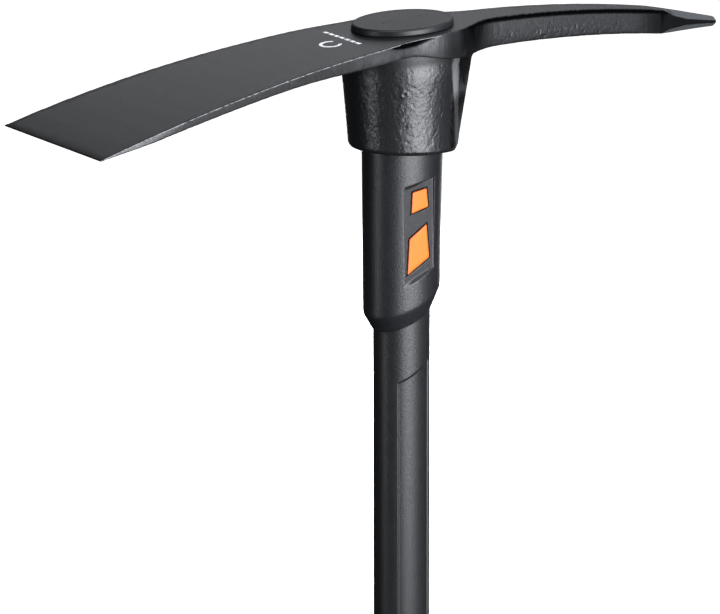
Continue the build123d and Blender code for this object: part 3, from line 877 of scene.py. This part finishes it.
def thinned(mesh, share):
    """The mesh with fewer faces where it is flat."""
    thick = bpy.data.objects.new(mesh.name + "_thick", mesh)
    scene.collection.objects.link(thick)
    fewer = thick.modifiers.new("fewer_faces", "DECIMATE")
    fewer.ratio = share
    light_mesh = bpy.data.meshes.new_from_object(
        thick.evaluated_get(bpy.context.evaluated_depsgraph_get())
    )
    bpy.data.objects.remove(thick)
    return light_mesh


head_mesh = thinned(forge_head(), FACES_KEPT)
head_mesh.shade_smooth()
head_mesh.materials.clear()
head_mesh.materials.append(head_finish)
head = bpy.data.objects.new("head_forging", head_mesh)
scene.collection.objects.link(head)
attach(head, BODY)
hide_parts("pick_head")

# ---------------------------------------------------------------- marks printed on the blade

PRINT_STAND = 0.06 * MM
BAR_START = (-44.9, -15.8)
BAR_END = (-42.0, 20.4)
BAR_HALF_WIDTH = 1.25
BLOCK_COUNT = 7
BLOCK_FILL = 0.74
BLOCK_ROWS = 6
RING_CENTRE = (-57.0, -3.6)
RING_RADII = (6.6, 4.6)
RING_TURNS = np.linspace(radians(35), radians(325), 60)


def block_rows(block):
    """Pairs of points (x, y), in millimetres, along one block of the broken bar."""
    shares = (block + BLOCK_FILL * np.linspace(0, 1, BLOCK_ROWS)) / (BLOCK_COUNT - 1 + BLOCK_FILL)
    rows = []
    for share in shares:
        across, along = (a + share * (b - a) for a, b in zip(BAR_START, BAR_END))
        rows.append([(across - BAR_HALF_WIDTH, along), (across + BAR_HALF_WIDTH, along)])
    return rows


def print_marks(strips):
    """Thin printed strips on the crown, each given by its rows of point pairs."""
    points, faces = [], []
    for rows in strips:
        start = len(points)
        points += [(px * MM, py * MM, crown_z(px * MM) + PRINT_STAND) for pair in rows for px, py in pair]
        for low in range(start, len(points) - 2, 2):
            faces.append((low, low + 1, low + 3, low + 2))
    return new_piece("printed_marks", points, faces)


blocks = [block_rows(block) for block in range(BLOCK_COUNT)]
open_ring = [
    [(RING_CENTRE[0] + r * cos(turn), RING_CENTRE[1] + r * sin(turn)) for r in RING_RADII]
    for turn in RING_TURNS
]
print_marks(blocks + [open_ring]).data.materials.append(print_finish)

# ---------------------------------------------------------------- the cap over the eye

CAP_CENTRE = 0.5 * (cap_low.x + cap_high.x)
CAP_HALF = (0.5 * (cap_high.x - cap_low.x), 0.5 * (cap_high.y - cap_low.y))
CAP_TOP = cap_high.z
CAP_COLUMNS = 160
CAP_GAP = 0.1 * MM
CAP_LEAN = 0.35 * MM
CAP_FOOT_ROUND = 0.7 * MM
CAP_RIM_ROUND = 1.5 * MM
CAP_DISH = ((2.6, 0.05), (3.4, 0.14), (4.4, 0.18), (7.0, 0.14), (11.0, 0.08), (16.0, 0.04), (21.0, 0.0))


def soft_corner(radius, steps):
    """Points (inset, drop) round a quarter circle, from a side to a face."""
    turns = np.linspace(0, pi / 2, steps)
    return [(radius * (1 - cos(t)), radius * (1 - sin(t))) for t in turns]


def cap_rings():
    """The cap's rings from its middle underneath, out round the rim and in over its slightly dished top."""
    angles = even_angles(CAP_COLUMNS)
    rings = []

    def ring(inset):
        rings.append(oval(angles, *CAP_HALF, CAP_CENTRE, 0.0, -inset))
        return rings[-1]

    for inset, drop in [(8 * MM, 0.0)] + soft_corner(CAP_FOOT_ROUND, 5)[::-1]:
        points = ring(inset)
        points[:, 2] = crown_z(points[:, 0]) + (CAP_GAP + drop)
    low = points[:, 2]
    for share in (0.25, 0.5, 0.75):
        ring(CAP_LEAN * share)[:, 2] = low + share * (CAP_TOP - CAP_RIM_ROUND - low)
    for inset, drop in soft_corner(CAP_RIM_ROUND, 8):
        ring(CAP_LEAN + inset)[:, 2] = CAP_TOP - drop
    for inset, drop in CAP_DISH:
        ring(inset * MM)[:, 2] = CAP_TOP - drop * MM
    return rings


cap = ring_piece("top_cap_moulding", cap_rings(), ["top_cap"])
cap.data.materials.append(cap_finish)

# ---------------------------------------------------------------- the guard with its recessed panels

PANEL_FLOOR = 16.6 * MM
# Outlines of (x, height from the socket's foot), in millimetres
PANEL = [(-14.0, -20.6), (10.6, -16.7), (10.6, -74.2), (-14.0, -82.5)]
PANEL_STEP = [(9.8, -18.2), (14.6, -17.6), (14.6, -72.0), (9.8, -74.0)]
SMALL_INLAY = [(-5.7, -24.0), (5.5, -23.4), (6.9, -35.3), (-6.6, -37.2)]
LARGE_INLAY = [(-8.1, -52.8), (5.5, -45.8), (7.8, -67.4), (-9.6, -75.2)]
STEP_DEPTH = 0.14 * MM
POCKET_DEPTH = 1.6 * MM
GUARD_REACH = guard_high.z - GUARD_FOOT
GUARD_FLARE_START = 41.6 * MM
GUARD_LIP = (SHAFT[0] + 0.6 * MM, SHAFT[1] + 0.6 * MM)
GUARD_FOOT_ROUND = 0.35 * MM


def from_socket(outline):
    """An outline of (x, height below the socket's foot) in the row frame, in metres."""
    return [(px * MM, SOCKET_FOOT + pz * MM) for px, pz in outline]


def lesser(first, second, soft):
    """The smaller of two values with a soft change between them."""
    return 0.5 * (first + second - np.sqrt((first - second) ** 2 + soft**2))


def guard_rings():
    """The guard's outside from its foot up, then back down its bore, so that it closes on itself."""
    angles = spread_angles(15.5 * MM, GUARD_WALL[0], 0.34 * MM, 1.0 * MM)
    climbs = heights(
        (0.0, 0.5 * MM),
        (19.0 * MM, 0.8 * MM),
        (23.0 * MM, 0.36 * MM),
        (94.0 * MM, 1.0 * MM),
        (GUARD_REACH, 0),
    )
    rings = []
    for climb in climbs:
        share = lesser(climb / NOSE_HEIGHT, 1.0, 0.1) + 0.0025
        flare = np.clip((climb - GUARD_FLARE_START) / (GUARD_REACH - GUARD_FLARE_START), 0, 1)
        half = [a + max(0.0, share) * (b - a) + GUARD_FLARE * flare for a, b in zip(GUARD_LIP, GUARD_WALL)]
        foot_round = -GUARD_FOOT_ROUND * max(0.0, 1 - climb / (0.5 * MM)) ** 2
        points = oval(angles, half[0], half[1], EYE_SHIFT * flare, 0.0, foot_round)
        px, py = points[:, 0], points[:, 1]
        pz = GUARD_FOOT + climb + px * NOSE_SLOPE * (1 - climb / GUARD_REACH)
        flat = np.abs(py)
        soft = (0.7 + 2.0 * fall(px, 8 * MM, 12 * MM)) * MM
        panel = smooth_step(inside(from_socket(PANEL), px, pz) / soft + 0.45)
        flat = flat + panel * np.minimum(PANEL_FLOOR - flat, 0.0)
        step = smooth_step(inside(from_socket(PANEL_STEP), px, pz) / (0.9 * MM) + 0.3)
        flat = flat - STEP_DEPTH * step * (1 - panel)
        for outline in (SMALL_INLAY, LARGE_INLAY):
            pocket = smooth_step((inside(from_socket(outline), px, pz) + 0.75 * MM) / (0.3 * MM))
            flat = flat - POCKET_DEPTH * pocket
        points[:, 1] = np.sign(py) * flat
        points[:, 2] = pz
        rings.append(points)
    for z, drop in ((guard_high.z, 0.0), (GUARD_FOOT, 1.0)):
        points = oval(angles, *BORE, 0.0, z)
        points[:, 2] = z + drop * points[:, 0] * NOSE_SLOPE
        rings.append(points)
    return rings


guard = ring_piece("guard_moulding", guard_rings(), ["strike_guard"], sleeve=True)
guard.data.materials.append(guard_finish)

INLAY_PROUD = 0.15 * MM
INLAY_BACK = 15.1 * MM
INLAY_CORNER = 1.0 * MM
INLAY_CROWN = 0.08 * MM
# Inset and depth under the face in millimetres, and the share of the dark rim, a painted shade on the inlay's
# edge
INLAY_EDGE = ((0.0, 0.45, 1.0), (0.05, 0.25, 1.0), (0.18, 0.08, 0.9), (0.55, 0.0, 0.35))


def rounded_outline(corners, radius, steps=6, side_steps=10):
    """Points round a convex outline with its corners rounded."""
    corners = [np.array(c) for c in corners]
    points = []
    for before, corner, after in zip(corners[-1:] + corners[:-1], corners, corners[1:] + corners[:1]):
        to_before = (before - corner) / np.linalg.norm(before - corner)
        to_after = (after - corner) / np.linalg.norm(after - corner)
        start, end = corner + radius * to_before, corner + radius * to_after
        for share in np.linspace(0, 1, steps):
            points.append((1 - share) ** 2 * start + 2 * share * (1 - share) * corner + share**2 * end)
        following = after + radius * (corner - after) / np.linalg.norm(corner - after)
        for share in np.linspace(0, 1, side_steps + 1)[1:-1]:
            points.append(end + share * (following - end))
    return np.array(points)


def inlay_piece(name, outline, side, node):
    """A coloured inlay with rounded corners and a gently crowned face."""
    rim = rounded_outline(from_socket(outline), INLAY_CORNER)
    middle = rim.mean(0)
    reach = np.linalg.norm(rim - middle, axis=1, keepdims=True)
    face = PANEL_FLOOR + INLAY_PROUD
    rings = [[(px, side * INLAY_BACK, pz) for px, pz in rim]]
    rim_shade_shares = [1.0]
    for inset, below, rim_shade_share in INLAY_EDGE:
        flat = rim - (rim - middle) / reach * inset * MM
        rings.append([(px, side * (face - below * MM), pz) for px, pz in flat])
        rim_shade_shares.append(rim_shade_share)
    for share in (0.8, 0.55, 0.3, 0.1):
        flat = middle + (rim - middle) * share
        crown = face + INLAY_CROWN * (1 - share**2)
        rings.append([(px, side * crown, pz) for px, pz in flat])
        rim_shade_shares.append(0.0)
    rings = np.array(rings)
    if side > 0:
        rings = rings[:, ::-1]
    piece = ring_piece(name, rings, [node])
    # Painted shade: the dark rim share darkens the inlay's sides and the edge of its face.
    set_mark(piece.data, "rim", np.append(np.repeat(rim_shade_shares, rings.shape[1]), [1, 0]))
    piece.data.materials.append(inlay_finish)


for size, outline in (("small", SMALL_INLAY), ("large", LARGE_INLAY)):
    for where, side in (("front", -1), ("back", 1)):
        inlay_piece(f"{size}_inlay_{where}", outline, side, f"inlay_{size}_{where}")

# ---------------------------------------------------------------- the shaft

PANEL_TOP = GUARD_FOOT - 33.5 * MM
PANEL_LOW = grip_high.z + 24 * MM
SWELL = 0.35 * MM
PANEL_SIDE_SOFT = 0.8 * MM
PANEL_END_SOFT = 1.4 * MM


def shaft_rings():
    """The handle's shell from its foot inside the butt to its neck inside the eye."""
    angles = spread_angles(14 * MM, SHAFT[0], 0.4 * MM, 1.1 * MM)
    levels = heights(
        (shell_low.z, 6 * MM),
        (grip_high.z + 8 * MM, 0.8 * MM),
        (grip_high.z + 34 * MM, 4 * MM),
        (PANEL_TOP - 12 * MM, 0.6 * MM),
        (PANEL_TOP + 12 * MM, 3 * MM),
        (guard_high.z + 0.1 * MM, 0),
    )
    rings = []
    for level in levels:
        swell = SWELL * fall(level, GUARD_FOOT, 300 * MM) * rise(level, grip_high.z, 60 * MM)
        px = oval(angles, *SHAFT, 0.0, level, swell)[:, 0]
        slant = px * PANEL_SLOPE
        sunk = smooth_step((PANEL_HALF_WIDTH - np.abs(px)) / PANEL_SIDE_SOFT + 0.5)
        sunk = sunk * smooth_step((PANEL_TOP + slant - level) / PANEL_END_SOFT + 0.5)
        sunk = sunk * smooth_step((level - PANEL_LOW - slant) / PANEL_END_SOFT + 0.5)
        rings.append(oval(angles, *SHAFT, 0.0, level, swell - PANEL_DEPTH * sunk))
    neck = (shell_high.x - EYE_SHIFT - 0.2 * MM, shell_high.y)
    rings.append(oval(angles, neck[0] - 1.6 * MM, neck[1] - 1.6 * MM, EYE_SHIFT, guard_high.z + 0.2 * MM))
    rings.append(oval(angles, neck[0], neck[1], EYE_SHIFT, shell_high.z))
    return rings


shaft = ring_piece("handle_shaft", shaft_rings(), ["handle_shell"])
shaft.data.materials.append(shaft_finish)

# ---------------------------------------------------------------- grip and butt

RIB_PLAIN = 20 * MM
RIB_COUNT = 16
RIB_GROOVE = 0.8 * MM
GROOVE_SHARPNESS = 14 / 1.5
GRIP_COLUMNS, GRIP_ROWS = 184, 520
GRIP_TAPER = 1.6 * MM
GRIP_END_ROUND = 0.9 * MM


def grip_rings():
    """The ribbed grip, then back down its bore."""
    angles = even_angles(GRIP_COLUMNS)
    low, high = grip_low.z, grip_high.z
    foot_half = (0.5 * (grip_high.x - grip_low.x), 0.5 * (grip_high.y - grip_low.y))
    rings = []
    for level in np.linspace(low, high, GRIP_ROWS):
        share = (level - low) / (high - low)
        half = [h - GRIP_TAPER * share for h in foot_half]
        rib = (level - low - RIB_PLAIN) / (high - low - 2 * RIB_PLAIN) * RIB_COUNT
        ribbed = band(level, low + RIB_PLAIN, high - RIB_PLAIN, 2 * MM)
        groove = np.exp(-(((rib - round(rib)) * GROOVE_SHARPNESS) ** 2)) * ribbed
        top_round = max(0.0, 1 - (high - level) / (1.2 * MM)) ** 2
        foot_round = 0.3 * max(0.0, 1 - (level - low) / (0.8 * MM)) ** 2
        inset = RIB_GROOVE * groove + GRIP_END_ROUND * (top_round + foot_round)
        rings.append(oval(angles, *half, 0.0, level, -inset))
    for level in (high, low):
        rings.append(oval(angles, *BORE, 0.0, level))
    return rings


grip = ring_piece("ribbed_grip", grip_rings(), ["grip_sleeve"], sleeve=True)
grip.data.materials.append(grip_finish)

# Share of the butt's height, and its flare there in millimetres
BUTT_FLARES = [(0.0, 6.0), (0.24, 6.3), (0.43, 4.4), (0.71, 0.9), (1.0, 0.0)]
BUTT_COLUMNS, BUTT_ROWS = 200, 70
BUTT_WALL = (SHAFT[0] + 3.2 * MM, SHAFT[1] + 3.2 * MM)
FACE_ROUND = 4 * MM
SOCKET_FLOOR = 9 * MM


def butt_rings():
    """The flared butt with a rounded flat face, then down inside its socket."""
    angles = even_angles(BUTT_COLUMNS)
    height = butt_high.z
    shares, flares = zip(*BUTT_FLARES)
    flare = np.poly1d(np.polyfit(shares, flares, 4))
    rings = []
    for inset in (14 * MM, 9 * MM, 6 * MM):
        rings.append(oval(angles, *BUTT_WALL, 0.0, 0.0, BUTT_FLARES[0][1] * MM - inset))
    for turn in np.linspace(0, pi / 2, 14):
        level = FACE_ROUND * (1 - cos(turn))
        inset = FACE_ROUND * (1 - sin(turn))
        rings.append(oval(angles, *BUTT_WALL, 0.0, level, flare(level / height) * MM - inset))
    for level in np.linspace(FACE_ROUND, height - 0.8 * MM, BUTT_ROWS)[1:]:
        rings.append(oval(angles, *BUTT_WALL, 0.0, level, flare(level / height) * MM))
    for inset, drop in soft_corner(0.7 * MM, 5):
        rings.append(oval(angles, *BUTT_WALL, 0.0, height - drop, -inset))
    for level in (height, SOCKET_FLOOR):
        rings.append(oval(angles, *BORE, 0.0, level))
    return rings


butt = ring_piece("butt_moulding", butt_rings(), ["butt_cap"])
butt.data.materials.append(butt_finish)
